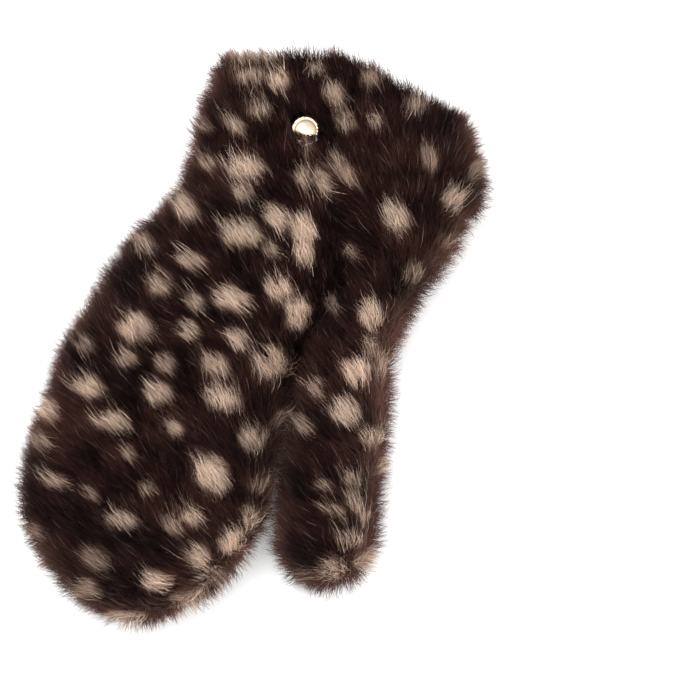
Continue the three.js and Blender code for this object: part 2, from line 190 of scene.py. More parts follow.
@dataclass(frozen=True)
class Lie:
    """How the whole mitten lies: its seam, its mouth, its fold, and its place in the frame."""

    cuff_length: float = 48.6 * MM
    cuff_width: float = 130 * MM
    cuff_lean: float = 3.7 * MM
    mouth_share: float = 0.885
    mouth_drop: float = 33 * MM
    mouth_bend: float = 1.15
    seam_drop: float = 21 * MM
    fold_length: float = 166 * MM
    fold_width: float = 15 * MM
    fold_depth: float = 0.58
    crotch_along: float = 0.56
    snap_along: float = 0.405
    snap_across: float = -0.098
    fold_rows: tuple[FoldRow, ...] = (
        FoldRow(0.0, -0.098, 0.35, 0.7),
        FoldRow(0.12, -0.05, 0.6, 0.7),
        FoldRow(0.25, 0.027, 0.9, 0.9),
        FoldRow(0.4, 0.015, 1.0, 1.0),
        FoldRow(0.5, -0.04, 0.9, 0.8),
        FoldRow(0.58, -0.115, 0.6, 0.6),
        FoldRow(0.78, -0.155, 0.4, 0.5),
        FoldRow(1.0, -0.2, 0.2, 0.5),
    )

    def seam(self, x: Array) -> Array:
        """Height of the wrist seam up the mitten over a place across it."""
        return -self.seam_drop * (x / self.cuff_width + 0.5)

    def mouth(self, x: Array) -> Array:
        """Height of the cuff's mouth up the mitten over a place across it."""
        past = np.maximum(0, (x - self.cuff_lean) / (self.cuff_width * self.mouth_share / 2))
        return self.cuff_length - self.mouth_drop * past**self.mouth_bend

    @property
    def snap_x(self) -> float:
        """Place of the snap across the mitten."""
        return self.cuff_width * self.snap_across

    @property
    def fold_top(self) -> float:
        """Height up the mitten at which the fold starts, under the snap."""
        seam = float(self.seam(np.array(self.snap_x)))
        return seam + (float(self.mouth(np.array(self.snap_x))) - seam) * self.snap_along

    @property
    def crotch(self) -> float:
        """Height up the mitten at which the thumb parts from the hand."""
        return self.fold_top - self.fold_length * self.crotch_along

    def fold_across(self, y: Array) -> Array:
        """Place of the fold's line across the mitten."""
        return self.cuff_width * smooth_column(
            self.fold_rows, "across", (self.fold_top - y) / self.fold_length
        )

    def fold(self, x: Array, y: Array) -> Array:
        """Share of the height that the fold takes away over a place on the plan.

        Args:
            x: places across the mitten.
            y: places up the mitten.

        Returns:
            The share at each place.
        """
        share = (self.fold_top - y) / self.fold_length
        half = self.fold_width * smooth_column(self.fold_rows, "width", share)
        away = (x - self.fold_across(y)) / half
        depth = self.fold_depth * smooth_column(self.fold_rows, "depth", share)
        return depth * smooth_step(-0.1, 0.02, share) * np.exp(-away * away)

    def place(self) -> Array:
        """Where the form's own origin stands in the frame, found from the frame's snap."""
        low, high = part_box("snap")
        return np.array(
            [(low[0] + high[0]) / 2 - self.snap_x, (low[1] + high[1]) / 2 - self.fold_top, 0.0]
        )


LIE = Lie()
PLACE = LIE.place()


@dataclass(frozen=True)
class FurForm:
    """A hand, thumb or cuff: the outline of its fur and the cloth below it.

    Attributes:
        rows: its sections.
        length: its length over the fur from the wrist seam.
        width: its width over the fur.
        depth: its depth over the fur.
        swing: how far its far end lies to the side.
        cap_from: share of its length at which its round end starts, or None for an open tube.
        cap_power: how full its round end is.
        side_height: share of its depth at which it is widest.
        under_press: how far the underside is pressed down.
        roundness: how round its section is.
        cap_flatness: how flat the round end stays in height.
    """

    rows: tuple[Row, ...]
    length: float
    width: float
    depth: float
    swing: float
    cap_from: float | None = None
    cap_power: float = 1.0
    side_height: float = 0.42
    under_press: float = 1.3
    roundness: float = 0.92
    cap_flatness: float = 0.7

    @property
    def reach(self) -> float:
        """How far the cloth of the form goes."""
        return self.length * 1.06 if self.cap_from is None else self.length - Layer.OUTSIDE.value[0]

    def cap(self, along: Array, inset: float) -> Array:
        """How much of its width the form still has near its round end.

        Args:
            along: distances along the form.
            inset: how far inside the outline of the fur.

        Returns:
            The share at each distance, from 0 to 1.
        """
        if self.cap_from is None:
            return np.ones_like(along)
        start = self.length * self.cap_from
        past = np.clip((along - start) / (self.length - start - inset), 0, 1)
        return np.maximum(1 - past**2, 0) ** self.cap_power

    def points(self, layer: Layer, along: Array, angle: Array) -> Array:
        """Points on one of the form's surfaces, in the frame.

        Args:
            layer: which surface.
            along: distances along the form.
            angle: angles round it, from the thumb side over the top.

        Returns:
            The points, on a last axis of 3.
        """
        inset, under, bottom = layer.value
        share = along / self.length
        middle = self.swing * smooth_column(self.rows, "middle", share)
        ahead = self.swing * smooth_column(self.rows, "middle", share + 0.02)
        tilt = (ahead - middle) / (0.02 * self.length)
        cap = self.cap(along, inset)
        half = self.width * smooth_column(self.rows, "width", share) / 2 - inset * np.hypot(1, tilt)
        depth = self.depth * smooth_column(self.rows, "depth", share)
        side = depth * self.side_height
        cos, sin = np.cos(angle), np.sin(angle)
        x = middle + half * cap * np.sign(cos) * np.abs(cos) ** self.roundness
        if self.cap_from is None:
            seam = LIE.seam(x)
            y = seam + (LIE.mouth(x) - inset - seam) * share
        else:
            y = -along
        swell = cap**self.cap_flatness * np.abs(sin) ** self.roundness
        over = side + (depth - inset - side) * swell * (1 - LIE.fold(x, y))
        below = np.maximum(bottom, side - (side * self.under_press - under) * swell)
        z = np.where(sin >= 0, over, below)
        return np.stack([x, y, z], axis=-1) + PLACE

    def holds(self, points: Array, margin: float) -> Array:
        """Say which places in the frame lie inside the form's cloth, by more than a margin.

        Args:
            points: places in the frame.
            margin: how far below the roof they have to lie.

        Returns:
            A truth value for each place.
        """
        local = points - PLACE
        along = -local[..., 1]
        flat = np.zeros_like(along)
        right = self.points(Layer.OUTSIDE, along, flat)[..., 0]
        left = self.points(Layer.OUTSIDE, along, flat + math.pi)[..., 0]
        away = (points[..., 0] - (right + left) / 2) / np.maximum((right - left) / 2, 1e-6)
        inside = (np.abs(away) < 1) & (along > -20 * MM) & (along < self.reach)
        turn = np.sign(away) * np.abs(np.clip(away, -1, 1)) ** (1 / self.roundness)
        roof = self.points(Layer.OUTSIDE, along, np.arccos(np.clip(turn, -1, 1)))[..., 2]
        return inside & (points[..., 2] < roof - margin)


HAND = FurForm(
    rows=(
        Row(0.0, 0.208, 0.804, 0.92),
        Row(0.075, 0.258, 0.868, 0.94),
        Row(0.182, 0.395, 1.01, 0.97),
        Row(0.289, 0.53, 1.04, 1.0),
        Row(0.396, 0.7, 1.01, 1.0),
        Row(0.503, 0.796, 0.97, 1.0),
        Row(0.61, 0.864, 0.996, 1.0),
        Row(0.717, 0.901, 0.985, 0.98),
        Row(0.824, 0.912, 0.93, 0.94),
        Row(0.91, 0.932, 0.89, 0.9),
        Row(1.0, 1.0, 0.83, 0.86),
    ),
    length=200 * MM,
    width=114 * MM,
    depth=50 * MM,
    swing=-90 * MM,
    cap_from=0.717,
    cap_power=0.6,
)
THUMB = FurForm(
    rows=(
        Row(0.0, 0.765, 2.19, 1.02),
        Row(0.082, 1.0, 1.88, 1.02),
        Row(0.199, 0.85, 1.56, 1.02),
        Row(0.316, 0.495, 1.16, 1.0),
        Row(0.433, 0.2, 1.0, 0.98),
        Row(0.55, 0.12, 1.02, 0.97),
        Row(0.667, 0.02, 1.03, 0.97),
        Row(0.785, -0.14, 1.06, 0.97),
        Row(0.902, -0.2, 1.05, 0.95),
        Row(1.0, -0.22, 0.98, 0.92),
    ),
    length=184 * MM,
    width=46 * MM,
    depth=43 * MM,
    swing=20 * MM,
    cap_from=0.87,
    cap_power=0.42,
)
CUFF = FurForm(
    rows=(
        Row(0.0, 0.0, 0.99, 1.0),
        Row(0.25, 0.35, 1.0, 1.0),
        Row(0.5, 0.65, 0.975, 1.0),
        Row(0.75, 0.88, 0.935, 0.97),
        Row(1.0, 1.0, 0.885, 0.92),
    ),
    length=LIE.cuff_length,
    width=LIE.cuff_width,
    depth=47 * MM,
    swing=LIE.cuff_lean,
)


@dataclass(frozen=True)
class Spot:
    """A pale spot of the pelt as seen from above, in millimetres from the middle of the mitten.

    Attributes:
        across: its place across the mitten.
        up: its place up the mitten.
        width: its width.
        height: its height.
        tone: how pale it is, from 0 to 1.
    """

    across: float
    up: float
    width: float
    height: float
    tone: float


SPOTS = tuple(
    Spot(*row)
    for row in (
        (-1, 123, 26, 5, 0.6), (-2, 114, 15, 6, 0.7), (10, 113, 10, 9, 0.9), (26, 118, 9, 7, 0.75),
        (34, 106, 11, 10, 0.8), (2, 100, 11, 8, 0.7), (-8, 94, 10, 8, 0.7), (39, 95, 11, 9, 0.6),
        (52, 95, 8, 8, 0.6), (69, 102, 11, 7, 0.6), (75, 79, 10, 13, 0.5), (96, 74, 8, 10, 0.5),
        (-4, 75, 17, 10, 0.95), (-20, 77, 8, 7, 0.6), (-5, 65, 10, 8, 0.75), (-30, 58, 12, 13, 0.7),
        (20, 71, 9, 10, 0.65), (29, 69, 8, 12, 0.85), (35, 77, 9, 8, 0.6), (40, 72, 8, 10, 0.55),
        (-6, 47, 18, 12, 1.0), (20, 50, 11, 14, 1.0), (9, 54, 12, 9, 1.0), (21, 41, 9, 12, 1.0),
        (7, 40, 8, 7, 0.7), (-47, 43, 10, 8, 0.6), (-28, 35, 13, 8, 0.75), (-41, 25, 12, 11, 0.7),
        (-10, 19, 16, 11, 0.95), (10, 24, 12, 11, 0.9), (-26, 17, 10, 9, 0.75), (18, 13, 13, 14, 0.95),
        (-51, 7, 15, 12, 0.8), (-29, 5, 10, 10, 0.85), (-8, 2, 10, 10, 0.8), (-73, -1, 10, 9, 0.6),
        (-55, -7, 11, 8, 0.7), (-38, -9, 10, 8, 0.6), (-18, -9, 12, 10, 0.75), (7, -9, 17, 16, 1.0),
        (-71, -19, 15, 9, 0.85), (-41, -21, 13, 11, 0.85), (-14, -23, 16, 12, 0.95),
        (-89, -29, 9, 10, 0.7), (-62, -33, 16, 10, 0.85), (-35, -36, 11, 8, 0.6),
        (-1, -40, 13, 12, 0.85), (-92, -42, 9, 9, 0.6), (-54, -47, 7, 6, 0.55), (-19, -55, 15, 16, 1.0),
        (2, -59, 13, 7, 0.5), (-87, -59, 12, 8, 0.65), (-46, -61, 8, 5, 0.55), (-70, -65, 9, 6, 0.5),
        (-57, -75, 15, 9, 0.75), (-28, -73, 10, 8, 0.8), (-2, -74, 11, 12, 0.9), (-36, -77, 9, 8, 0.6),
        (-10, -84, 12, 15, 1.0), (-95, -80, 8, 10, 0.5), (-25, -92, 12, 13, 0.75),
        (-68, -93, 12, 13, 0.5), (-43, -101, 13, 9, 0.85), (-73, -105, 12, 10, 0.6),
        (-18, -101, 18, 12, 0.65), (-27, -111, 20, 12, 0.75), (-57, -118, 22, 9, 0.8),
        (60, 55, 12, 16, 0.9), (86, 62, 12, 9, 0.75), (84, 45, 9, 7, 0.5), (41, 39, 7, 9, 0.5),
        (69, 31, 12, 8, 0.65), (50, 13, 12, 12, 0.95), (33, 18, 8, 9, 0.6), (49, 0, 9, 9, 0.6),
        (26, -19, 9, 10, 0.55), (43, -11, 15, 12, 0.85), (54, -7, 8, 12, 0.75), (38, -29, 15, 11, 0.95),
        (50, -39, 16, 9, 0.85), (11, -32, 9, 7, 0.55), (20, -35, 8, 8, 0.6), (57, -52, 8, 10, 0.75),
        (28, -60, 9, 7, 0.6), (42, -57, 11, 6, 0.7), (42, -66, 10, 8, 0.75), (32, -71, 12, 6, 0.65),
        (46, -71, 10, 9, 0.7), (41, -83, 18, 7, 0.65), (33, -97, 17, 13, 0.7), (49, -94, 16, 14, 0.75),
        (18, -100, 9, 9, 0.45), (-21, 93, 7, 6, 0.5), (22, 84, 9, 5, 0.5), (49, 113, 9, 7, 0.6),
    )
)


class Pelt:
    """The spotted pattern of the fur: the charted spots on top, and a like scatter elsewhere."""

    SPOT_FIT = 0.9
    WOBBLE = 1.6 * MM
    SCATTER_WOBBLE = 2 * MM

    def __init__(self, edge: float = 0.42, scatter_cell: float = 17 * MM) -> None:
        """Prepare the spots.

        Args:
            edge: how soft a spot's edge is, as a share of its radius.
            scatter_cell: distance between the spots where none is charted.
        """
        self.edge = edge
        self.scatter_cell = scatter_cell
        self.centres = np.array([(s.across, s.up) for s in SPOTS]) * MM
        self.radii = np.array([(s.width, s.height) for s in SPOTS]) * MM / 2
        self.tones = np.array([s.tone for s in SPOTS])

    def top(self, points: Array) -> Array:
        """How pale the charted pattern is over places on the top, from 0 to 1.

        Args:
            points: places in the frame, one a row.

        Returns:
            One number a place.
        """
        wobble = np.stack(
            [lattice_noise(points, 6 * MM, 11), lattice_noise(points, 6 * MM, 12)], axis=1
        )
        plan = points[:, :2] + wobble * self.WOBBLE
        pale = np.zeros(len(points))
        for centre, radius, tone in zip(self.centres, self.radii, self.tones):
            away = np.linalg.norm((plan - centre) / (radius * self.SPOT_FIT), axis=1)
            shade = tone * (1 - smooth_step(1 - self.edge, 1 + self.edge, away))
            pale = np.maximum(pale, shade)
        return pale

    def scattered(self, points: Array) -> Array:
        """How pale a scatter of like spots is over places on the sides and the underside.

        Args:
            points: places in the frame, one a row.

        Returns:
            One number a place, from 0 to 1.
        """
        cell = self.scatter_cell
        wobble = np.stack([lattice_noise(points, 7 * MM, seed) for seed in (21, 22, 23)], axis=1)
        at = (points + wobble * self.SCATTER_WOBBLE) / cell
        base = np.floor(at).astype(np.int64)
        pale = np.zeros(len(points))
        for step in np.ndindex(3, 3, 3):
            corner = base + np.array(step) - 1
            key = corner[:, 0] * 92837111 ^ corner[:, 1] * 689287499 ^ corner[:, 2] * 283923481
            parts = [((key >> shift) % 997) / 997 for shift in (3, 11, 19)]
            centre = corner + 0.5 + (np.stack(parts, axis=1) - 0.5) * 0.8
            size = 0.24 + 0.2 * ((key >> 7) % 613) / 613
            away = np.linalg.norm(at - centre, axis=1) / size
            tone = 0.55 + 0.4 * ((key >> 5) % 331) / 331
            pale = np.maximum(pale, tone * (1 - smooth_step(1 - self.edge, 1 + self.edge, away)))
        return pale

    def at(self, points: Array, facing: Array) -> Array:
        """How pale the fur is at places whose cloth faces up by the given amount."""
        top = smooth_step(-0.25, 0.1, facing)
        return self.top(points) * top + self.scattered(points) * (1 - top)


class Wire:
    """A value in a material's nodes, with the arithmetic that the finishes use."""

    def __init__(self, shader: "Shader", socket: Any) -> None:
        """Hold a socket of a shader's nodes."""
        self.shader = shader
        self.socket = socket

    def math(self, operation: str, other: "Wire | float", swap: bool = False) -> "Wire":
        """Join this value to another with a Math node.

        Args:
            operation: the node's operation.
            other: the other value.
            swap: put the other value first.

        Returns:
            The result.
        """
        pair = (other, self) if swap else (self, other)
        return self.shader.add("ShaderNodeMath", {"operation": operation}, dict(enumerate(pair)))

    def __add__(self, other: "Wire | float") -> "Wire":
        """Add."""
        return self.math("ADD", other)

    __radd__ = __add__

    def __sub__(self, other: "Wire | float") -> "Wire":
        """Subtract."""
        return self.math("SUBTRACT", other)

    def __rsub__(self, other: "Wire | float") -> "Wire":
        """Subtract this from another."""
        return self.math("SUBTRACT", other, swap=True)

    def __mul__(self, other: "Wire | float") -> "Wire":
        """Multiply."""
        return self.math("MULTIPLY", other)

    __rmul__ = __mul__


class Shader:
    """A material and the nodes that make its colour."""

    def __init__(self, name: str) -> None:
        """Make a material with a bare surface shader.

        Args:
            name: the material's name.
        """
        self.material = bpy.data.materials.new(name)
        self.material.use_nodes = True
        self.tree = self.material.node_tree
        self.surface = next(n for n in self.tree.nodes if n.type == "BSDF_PRINCIPLED")

    def add(
        self, kind: str, settings: Mapping[str, Any], values: Mapping[Any, Any], out: Any = 0
    ) -> Wire:
        """Add a node.

        Args:
            kind: the node's type.
            settings: its settings, set first.
            values: values or links for its sockets, by name or number.
            out: which output to return.

        Returns:
            The output.
        """
        node = self.tree.nodes.new(kind)
        for name, value in settings.items():
            setattr(node, name, value)
        for key, value in values.items():
            self.feed(node.inputs[key], value)
        return Wire(self, node.outputs[out])

    def feed(self, socket: Any, value: Any) -> None:
        """Link a value to a socket, or set it there.

        Args:
            socket: the input to feed.
            value: a wire, a colour or a plain value.
        """
        if isinstance(value, Wire):
            self.tree.links.new(value.socket, socket)
        elif isinstance(value, tuple) and len(value) == 3 and socket.type == "RGBA":
            socket.default_value = (*value, 1.0)
        else:
            socket.default_value = value

    def mix(self, factor: "Wire | float", low: "Wire | Colour", high: "Wire | Colour") -> Wire:
        """Mix two colours."""
        return self.add(
            "ShaderNodeMix", {"data_type": "RGBA"}, {0: factor, 6: low, 7: high}, out=2
        )

    def attribute(self, name: str) -> Wire:
        """Read a number that the mesh carries."""
        return self.add("ShaderNodeAttribute", {"attribute_name": name}, {}, out="Fac")

    def noise(self, scale: float, detail: float = 2.0) -> Wire:
        """Cloudy noise over the object, from 0 to 1.

        Args:
            scale: how fine it is.
            detail: how many finer layers it has.

        Returns:
            The noise.
        """
        place = self.add("ShaderNodeTexCoord", {}, {}, out="Object")
        values = {"Vector": place, "Scale": scale, "Detail": detail}
        return self.add("ShaderNodeTexNoise", {}, values, out="Fac")

    def bump(self, height: Wire, strength: float, distance: float) -> Wire:
        """Turn a height into the surface's relief."""
        values = {"Strength": strength, "Distance": distance, "Height": height}
        return self.add("ShaderNodeBump", {}, values)

    def set(self, **values: Any) -> None:
        """Set sockets of the surface shader; an underscore in a name stands for a space."""
        for name, value in values.items():
            self.feed(self.surface.inputs[name.replace("_", " ")], value)


@dataclass(frozen=True)
class HairFinish:
    """The colours of the pile, from root to tip, in the dark ground and in the pale spots."""

    dark_root: Colour = (0.0035, 0.0014, 0.0012)
    dark_body: Colour = (0.0080, 0.0029, 0.0025)
    dark_tip: Colour = (0.036, 0.0130, 0.0102)
    # painted rim light: the lighter brown that the tips of the hairs on the steep sides take
    painted_rim_light_tip: Colour = (0.205, 0.100, 0.077)
    halo: Colour = (0.155, 0.074, 0.054)
    pale_root: Colour = (0.24, 0.125, 0.088)
    pale_body: Colour = (0.76, 0.54, 0.405)
    pale_tip: Colour = (0.90, 0.71, 0.56)
    grizzle: Colour = (0.24, 0.165, 0.14)
    roughness: float = 0.65
    grain_tips: float = 1.9
    halo_gain: float = 2.6
    spot_gain: float = 1.45
    spot_start: float = 0.42
    grain_contrast: float = 0.95

    def build(self) -> bpy.types.Material:
        """Make the material from the hair's pale, tipward, grain, frost and rim: rim adds painted rim
        light to the hairs on the steep sides, and grain also carries painted shade in the fold.

        Returns:
            The material.
        """
        shader = Shader("pile")
        tip = shader.attribute("tipward")
        grain_and_crease_shade = shader.attribute("grain_and_crease_shade")
        dark = shader.mix(tip, self.dark_root, self.dark_body)
        dark = shader.mix(tip * grain_and_crease_shade * grain_and_crease_shade * self.grain_tips, dark, self.dark_tip)
        # painted rim light: hairs on the steep sides turn lighter, warmer brown toward the tip, standing
        # in for light along the outline
        dark = shader.mix(shader.attribute("rim") * (tip * 0.75 + 0.1), dark, self.painted_rim_light_tip)
        light = shader.mix(tip * 1.5, self.pale_root, self.pale_body)
        light = shader.mix(tip * tip, light, self.pale_tip)
        pale = shader.attribute("pale")
        brown = shader.mix(tip, self.dark_root, self.halo)
        colour = shader.mix(pale * self.halo_gain, dark, brown)
        colour = shader.mix(pale * self.spot_gain - self.spot_start, colour, light)
        colour = shader.mix(shader.attribute("frost") * tip, colour, self.grizzle)
        # each hair's brightness follows its random grain, which in the fold also carries painted shade
        shade = (grain_and_crease_shade - 0.5) * (self.grain_contrast - pale * 0.5) + 1.0
        grey = shader.add("ShaderNodeCombineColor", {}, {0: shade, 1: shade, 2: shade})
        colour = shader.add(
            "ShaderNodeMix",
            {"data_type": "RGBA", "blend_type": "MULTIPLY"},
            {0: 1.0, 6: colour, 7: grey},
            out=2,
        )
        shader.set(Base_Color=colour, Roughness=self.roughness, Specular_IOR_Level=0.09)
        return shader.material


@dataclass(frozen=True)
class ClothFinish:
    """The backing cloth: matted underfur outside, plain brushed knit inside."""

    underfur: Colour = (0.006, 0.003, 0.0026)
    knit: Colour = (0.055, 0.030, 0.025)
    knit_light: Colour = (0.095, 0.055, 0.046)
    rib_scale: float = 450.0

    def build_underfur(self) -> bpy.types.Material:
        """Make the matted ground between the roots of the hairs.

        Returns:
            The material.
        """
        shader = Shader("underfur")
        cloud = shader.noise(420.0, 4.0)
        colour = shader.mix(cloud, self.underfur, tuple(c * 2.4 for c in self.underfur))
        bump = shader.bump(cloud, 0.6, 0.8 * MM)
        shader.set(Base_Color=colour, Roughness=0.95, Normal=bump, Specular_IOR_Level=0.2)
        return shader.material

    def build_knit(self) -> bpy.types.Material:
        """Make the inside of the cloth.

        Returns:
            The material.
        """
        shader = Shader("knit_inside")
        place = shader.add("ShaderNodeTexCoord", {}, {}, out="Object")
        ribs = shader.add(
            "ShaderNodeTexWave",
            {"wave_type": "BANDS", "bands_direction": "X"},
            {"Vector": place, "Scale": self.rib_scale, "Distortion": 1.5, "Detail": 1.0},
            out="Fac",
        )
        colour = shader.mix(ribs * 0.6 + shader.noise(300.0) * 0.4, self.knit, self.knit_light)
        bump = shader.bump(ribs, 0.5, 0.4 * MM)
        shader.set(Base_Color=colour, Roughness=0.9, Normal=bump, Specular_IOR_Level=0.25)
        shader.set(Sheen_Weight=0.2)
        return shader.material


@dataclass(frozen=True)
class GoldFinish:
    """Polished pale gold, a little cloudy from handling."""

    metal: Colour = (0.93, 0.79, 0.57)
    worn: Colour = (0.86, 0.69, 0.46)

    def build(self) -> bpy.types.Material:
        """Make the material.

        Returns:
            The material.
        """
        shader = Shader("pale_gold")
        cloud = shader.noise(700.0, 3.0)
        colour = shader.mix(cloud, self.metal, self.worn)
        bump = shader.bump(cloud, 0.08, 0.1 * MM)
        shader.set(Base_Color=colour, Metallic=1.0, Roughness=cloud * 0.12 + 0.24, Normal=bump)
        return shader.material


def mesh_object(
    name: str, vertices: Array, loops: Array, starts: Array, smooth: bool = True
) -> bpy.types.Object:
    """Make an object from arrays.

    Args:
        name: the object's name.
        vertices: places, one a row.
        loops: vertex numbers of all faces, end to end.
        starts: where each face starts in loops.
        smooth: shade the faces smoothly.

    Returns:
        The object, in the scene.
    """
    mesh = bpy.data.meshes.new(name)
    mesh.vertices.add(len(vertices))
    mesh.vertices.foreach_set("co", np.ascontiguousarray(vertices, dtype=np.float32).ravel())
    mesh.loops.add(len(loops))
    mesh.loops.foreach_set("vertex_index", np.ascontiguousarray(loops, dtype=np.int32))
    mesh.polygons.add(len(starts))
    mesh.polygons.foreach_set("loop_start", np.ascontiguousarray(starts, dtype=np.int32))
    mesh.polygons.foreach_set("use_smooth", np.full(len(starts), smooth))
    mesh.update(calc_edges=True)
    mesh.validate()
    thing = bpy.data.objects.new(name, mesh)
    bpy.context.scene.collection.objects.link(thing)
    return thing


@dataclass(frozen=True)
class PileStyle:
    """How one kind of hair stands, in metres.

    Attributes:
        steps: shares of a hair's path at which its ribbon has edges.
        taper: shares of its width there.
        length: mean length of a hair.
        uneven: share by which lengths differ.
        lift: sine of the angle between a hair and the cloth on top.
        lift_side: the same at the sides.
        width: width of a hair's ribbon at its root.
        tufts: tufts whose tips draw together, as a share of the hairs.
        gather: how far the tips draw together, from 0 to 1.
        stray: how far tips stray, as a share of the length.
        frosted: share of the hairs with a grey tip.
        marked: shares of a hair's path between which its place on the pattern is read.
    """

    steps: tuple[float, ...]
    taper: tuple[float, ...]
    length: float
    uneven: float
    lift: float
    lift_side: float
    width: float
    tufts: float
    gather: float
    stray: float
    frosted: float
    marked: tuple[float, float]


GUARD = PileStyle(
    steps=(0.0, 0.36, 0.7, 1.0),
    taper=(1.0, 0.9, 0.62, 0.0),
    length=12.0 * MM,
    uneven=0.34,
    lift=0.68,
    lift_side=0.76,
    width=0.21 * MM,
    tufts=0.06,
    gather=0.42,
    stray=0.14,
    frosted=0.05,
    marked=(0.3, 1.0),
)
DOWN = PileStyle(
    steps=(0.0, 0.52, 1.0),
    taper=(1.0, 0.85, 0.0),
    length=9.7 * MM,
    uneven=0.24,
    lift=0.76,
    lift_side=0.66,
    width=0.28 * MM,
    tufts=0.035,
    gather=0.22,
    stray=0.13,
    frosted=0.01,
    marked=(0.72, 1.0),
)


class PileGrower:
    """Grows the hairs of one form."""

    GRID = (260, 220)
    HEM = 3 * MM
    OVERLAP = 12 * MM
    END_ROWS = (0.01 * MM, 8 * MM, 24)
    UNDER_THINNING = 0.86
    UNDER_SHORTENING = 0.45
    RIM_SHARE = 0.1
    FULL_LEAN = 0.65
    COMB_LEFT = (-0.6, 0.8, 0.0)
    COMB_CUFF = (-0.34, 0.94, 0.0)
    COMB_RIGHT = (0.5, 0.7, 0.0)
    RIGHT_FROM = 15 * MM
    RIGHT_TO = 70 * MM
    COMB_NOISE = ((0.34, 15 * MM, 31), (0.16, 6 * MM, 35))
    UPHILL_LOSS = 0.5
    PILE_DEPTH = 8.0 * MM
    PILE_GIVE = 5.5 * MM
    ROOT_DEPTH = 0.6 * MM
    ROLL = 0.75
    FLOOR = (0.25 * MM, 0.5 * MM)
    RIM_SPLAY = (0.45, 0.3)
    HELD = 0.85
    HELD_SIDE = (0.78, 1.0)
    VALLEY_SIDE = (0.3, 0.8)
    FREE_SIDE = (0.3, 1.0)
    LIFT_NOISE = (0.09, 9 * MM, 41)
    FRIZZ_NOISE = (1.3, 19 * MM, 51)
    PATCHES = ((0.35, 13 * MM, 61), (0.35, 5 * MM, 62))
    GRAIN_SPREAD = 0.6
    GRAIN_FLOOR = 0.2
    PALE_STRAY = 0.13
    # how much painted shade the fold puts on its dark hairs
    VALLEY_PAINTED_SHADE = 0.6
    # steepness of the cloth over which the side hairs take painted rim light
    RIM_LIGHT_SIDES = (0.15, 0.85)
    FOLD_REACH = 25 * MM
    CROTCH_BLEND = (-16 * MM, 12 * MM)
    VALLEY_REACH = 10 * MM
    VALLEY_FOOT = (-16 * MM, 6 * MM)
    VALLEY_HEAD = (-30 * MM, -60 * MM)

    def __init__(self, form: FurForm, neighbours: Sequence[FurForm], style: PileStyle) -> None:
        """Prepare to grow hairs on a form.

        Args:
            form: the form.
            neighbours: forms whose cloth hides some of this form's.
            style: how the hairs stand.
        """
        self.form = form
        self.neighbours = neighbours
        self.style = style
        self.rng = np.random.default_rng(SEED + int(form.length / MM) + len(style.steps))

    def roots(self, count: int) -> tuple[Array, Array, Array]:
        """Scatter roots over the cloth.

        Args:
            count: how many.

        Returns:
            Places, directions straight out of the cloth, and shares along the form.
        """
        rows, columns = self.GRID
        start = 0.0 if self.form.cap_from is None else -self.OVERLAP
        along = np.linspace(start, self.form.reach, rows + 1)
        if self.form.cap_from is not None:
            along = np.sort(np.concatenate([along, self.form.reach - np.geomspace(*self.END_ROWS)]))
            rows = len(along) - 1
        angle = np.linspace(0, 2 * math.pi, columns + 1)
        grid = self.form.points(Layer.OUTSIDE, *np.meshgrid(along, angle, indexing="ij"))
        centre = (grid[:-1, :-1] + grid[1:, 1:]) / 2
        cross = np.cross(grid[1:, 1:] - grid[:-1, :-1], grid[:-1, 1:] - grid[1:, :-1])
        area = np.linalg.norm(cross, axis=-1) / 2
        normal = unit(cross)
        middle = grid[:-1, :-1].mean(axis=1, keepdims=True)
        inward = ((centre - middle) * normal).sum(-1).mean() < 0
        normal = -normal if inward else normal
        under = smooth_step(-0.35, -0.8, normal[..., 2])
        weight = area * (1 - self.UNDER_THINNING * under) * self.shows(centre)
        chance = (weight / weight.sum()).ravel()
        cells = self.rng.choice(len(chance), size=count, p=chance)
        i, j = np.divmod(cells, columns)
        u = self.rng.random(count)
        v = self.rng.random(count)
        at_along = along[i] + (along[i + 1] - along[i]) * u
        at_angle = angle[j] + (angle[j + 1] - angle[j]) * v
        places = self.form.points(Layer.OUTSIDE, at_along, at_angle)
        normals = normal[i, j]
        if self.form.cap_from is None:
            number = int(count * self.RIM_SHARE)
            at_along[:number] = self.form.reach
            places[:number], normals[:number] = self.rim_roots(number)
        return places, normals, at_along / self.form.length

    def rim_roots(self, count: int) -> tuple[Array, Array]:
        """Scatter roots over the rim of the mouth, where the cloth turns in.

        Args:
            count: how many.

        Returns:
            Places, and the directions in which the hairs there stand.
        """
        angle = self.rng.uniform(0, 2 * math.pi, count)
        reach = np.full(count, self.form.reach)
        outer = self.form.points(Layer.OUTSIDE, reach, angle)
        inner = self.form.points(Layer.INSIDE, reach, angle)
        across, up = self.RIM_SPLAY
        aside = np.stack([np.cos(angle) * across, np.ones(count), np.sin(angle) * up], axis=1)
        return outer + (inner - outer) * self.rng.random((count, 1)), unit(aside)

    def shows(self, places: Array) -> Array:
        """Say which places of the cloth belong to this form alone, on its side of the seam.

        Args:
            places: places on the cloth.

        Returns:
            A truth value for each place.
        """
        if self.form.cap_from is None:
            return np.ones(places.shape[:-1], dtype=bool)
        local = places - PLACE
        free = local[..., 1] < LIE.seam(local[..., 0]) + self.HEM
        for other in self.neighbours:
            free &= ~other.holds(places, 0.4 * MM)
        return free

